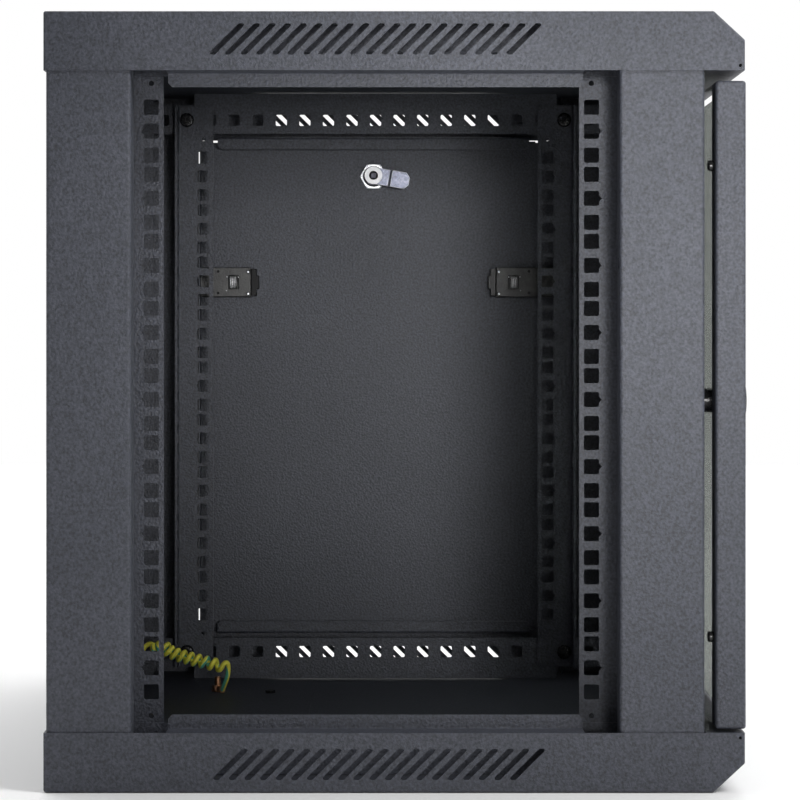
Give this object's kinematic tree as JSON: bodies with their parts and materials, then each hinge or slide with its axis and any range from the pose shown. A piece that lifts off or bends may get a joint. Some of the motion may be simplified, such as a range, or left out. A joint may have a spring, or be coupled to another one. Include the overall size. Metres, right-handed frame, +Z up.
{
  "type": "wall mount network cabinet",
  "caption": "Wall mount network rack cabinet in dark grey steel with a hinged glass door, punched 19-inch rails and its left side panel taken off.",
  "frame": {"origin": "centre of the rear face that lies on the wall", "axes": "+Z up, +Y out of the back towards the wall, +X to the right as seen from the front"},
  "size_m": [0.6015, 0.454, 0.501],
  "materials": {
    "powder_coat": "fine textured powder coat",
    "black_screw": "black passivated",
    "zinc": "bright zinc plate",
    "spring_steel": "bright drawn wire",
    "latch_plastic": "moulded satin",
    "washer_plastic": "plain",
    "glass": "clear toughened, lightly tinted",
    "foam": "closed-cell foam",
    "buffer_rubber": "smooth rubber",
    "copper": "bare copper",
    "wire_insulation": "yellow and green striped insulation"
  },
  "bodies": {
    "cabinet": {"top_cover": "powder_coat", "bottom_cover": "powder_coat", "rear_panel": "powder_coat", "top_entry_plate": "powder_coat", "bottom_entry_plate": "powder_coat", "entry_plate_screws": "black_screw", "column_front_left": "powder_coat", "column_front_right": "powder_coat", "column_rear_left": "powder_coat", "column_rear_right": "powder_coat", "rail_front_left": "powder_coat", "rail_front_right": "powder_coat", "rail_rear_left": "powder_coat", "rail_rear_right": "powder_coat", "depth_bar_top_left": "powder_coat", "depth_bar_top_right": "powder_coat", "depth_bar_bottom_left": "powder_coat", "depth_bar_bottom_right": "powder_coat", "rail_bolts": "black_screw", "rail_nuts": "black_screw", "side_panel_right": "powder_coat", "side_lock_barrel": "zinc", "side_lock_nut": "zinc", "latch_front_housing": "latch_plastic", "latch_rear_housing": "latch_plastic", "latch_front_spring": "spring_steel", "latch_rear_spring": "spring_steel", "hinge_washer": "washer_plastic", "earth_studs": "zinc", "earth_nuts": "zinc", "earth_terminals": "copper", "earth_wire_coil": "wire_insulation", "earth_wire_front": "wire_insulation", "earth_wire_rear": "wire_insulation"},
    "door": {"door_frame_left": "powder_coat", "door_frame_right": "powder_coat", "door_seal": "foam", "door_glass": "glass", "glass_clips": "zinc", "glass_clip_nuts": "zinc", "door_buffers": "buffer_rubber", "door_lock_barrel": "black_screw", "door_lock_nut": "black_screw", "hinge_brackets": "powder_coat", "hinge_pin_spring": "spring_steel", "hinge_pin_bottom": "zinc"},
    "door_lock": {"door_lock_plug": "zinc", "door_lock_cam": "zinc", "door_lock_cam_screw": "zinc"},
    "hinge_pin": {"hinge_pin_top": "zinc"},
    "side_lock": {"side_lock_plug": "zinc", "side_lock_cam": "zinc", "side_lock_cam_screw": "zinc"},
    "latch_front": {"latch_front_bolt": "latch_plastic"},
    "latch_rear": {"latch_rear_bolt": "latch_plastic"}
  },
  "joints": [
    {"name": "door_hinge", "type": "hinge", "parent": "cabinet", "child": "door", "pos_m": [0.288, -0.44125, 0], "axis": [0, 0, 1], "range_deg": [0, 180]},
    {"name": "hinge_pin_slide", "type": "slide", "parent": "door", "child": "hinge_pin", "axis": [0, 0, -1], "range_m": [0, 0.008], "stiffness_N_per_m": 300, "springref_m": -0.003, "deforming": ["hinge_pin_spring"]},
    {"name": "door_lock_turn", "type": "hinge", "parent": "door", "child": "door_lock", "pos_m": [-0.266, -0.451, 0], "axis": [0, -1, 0], "range_deg": [0, 90]},
    {"name": "side_lock_turn", "type": "hinge", "parent": "cabinet", "child": "side_lock", "pos_m": [0.2985, -0.208, 0.181], "axis": [-1, 0, 0], "range_deg": [0, 98]},
    {"name": "latch_rear_slide", "type": "slide", "parent": "cabinet", "child": "latch_rear", "axis": [0, -1, 0], "range_m": [0, 0.006], "stiffness_N_per_m": 400, "springref_m": -0.004, "deforming": ["latch_rear_spring"]},
    {"name": "latch_front_slide", "type": "slide", "parent": "cabinet", "child": "latch_front", "axis": [0, 1, 0], "range_m": [0, 0.006], "stiffness_N_per_m": 400, "springref_m": -0.004, "deforming": ["latch_front_spring"]}
  ]
}
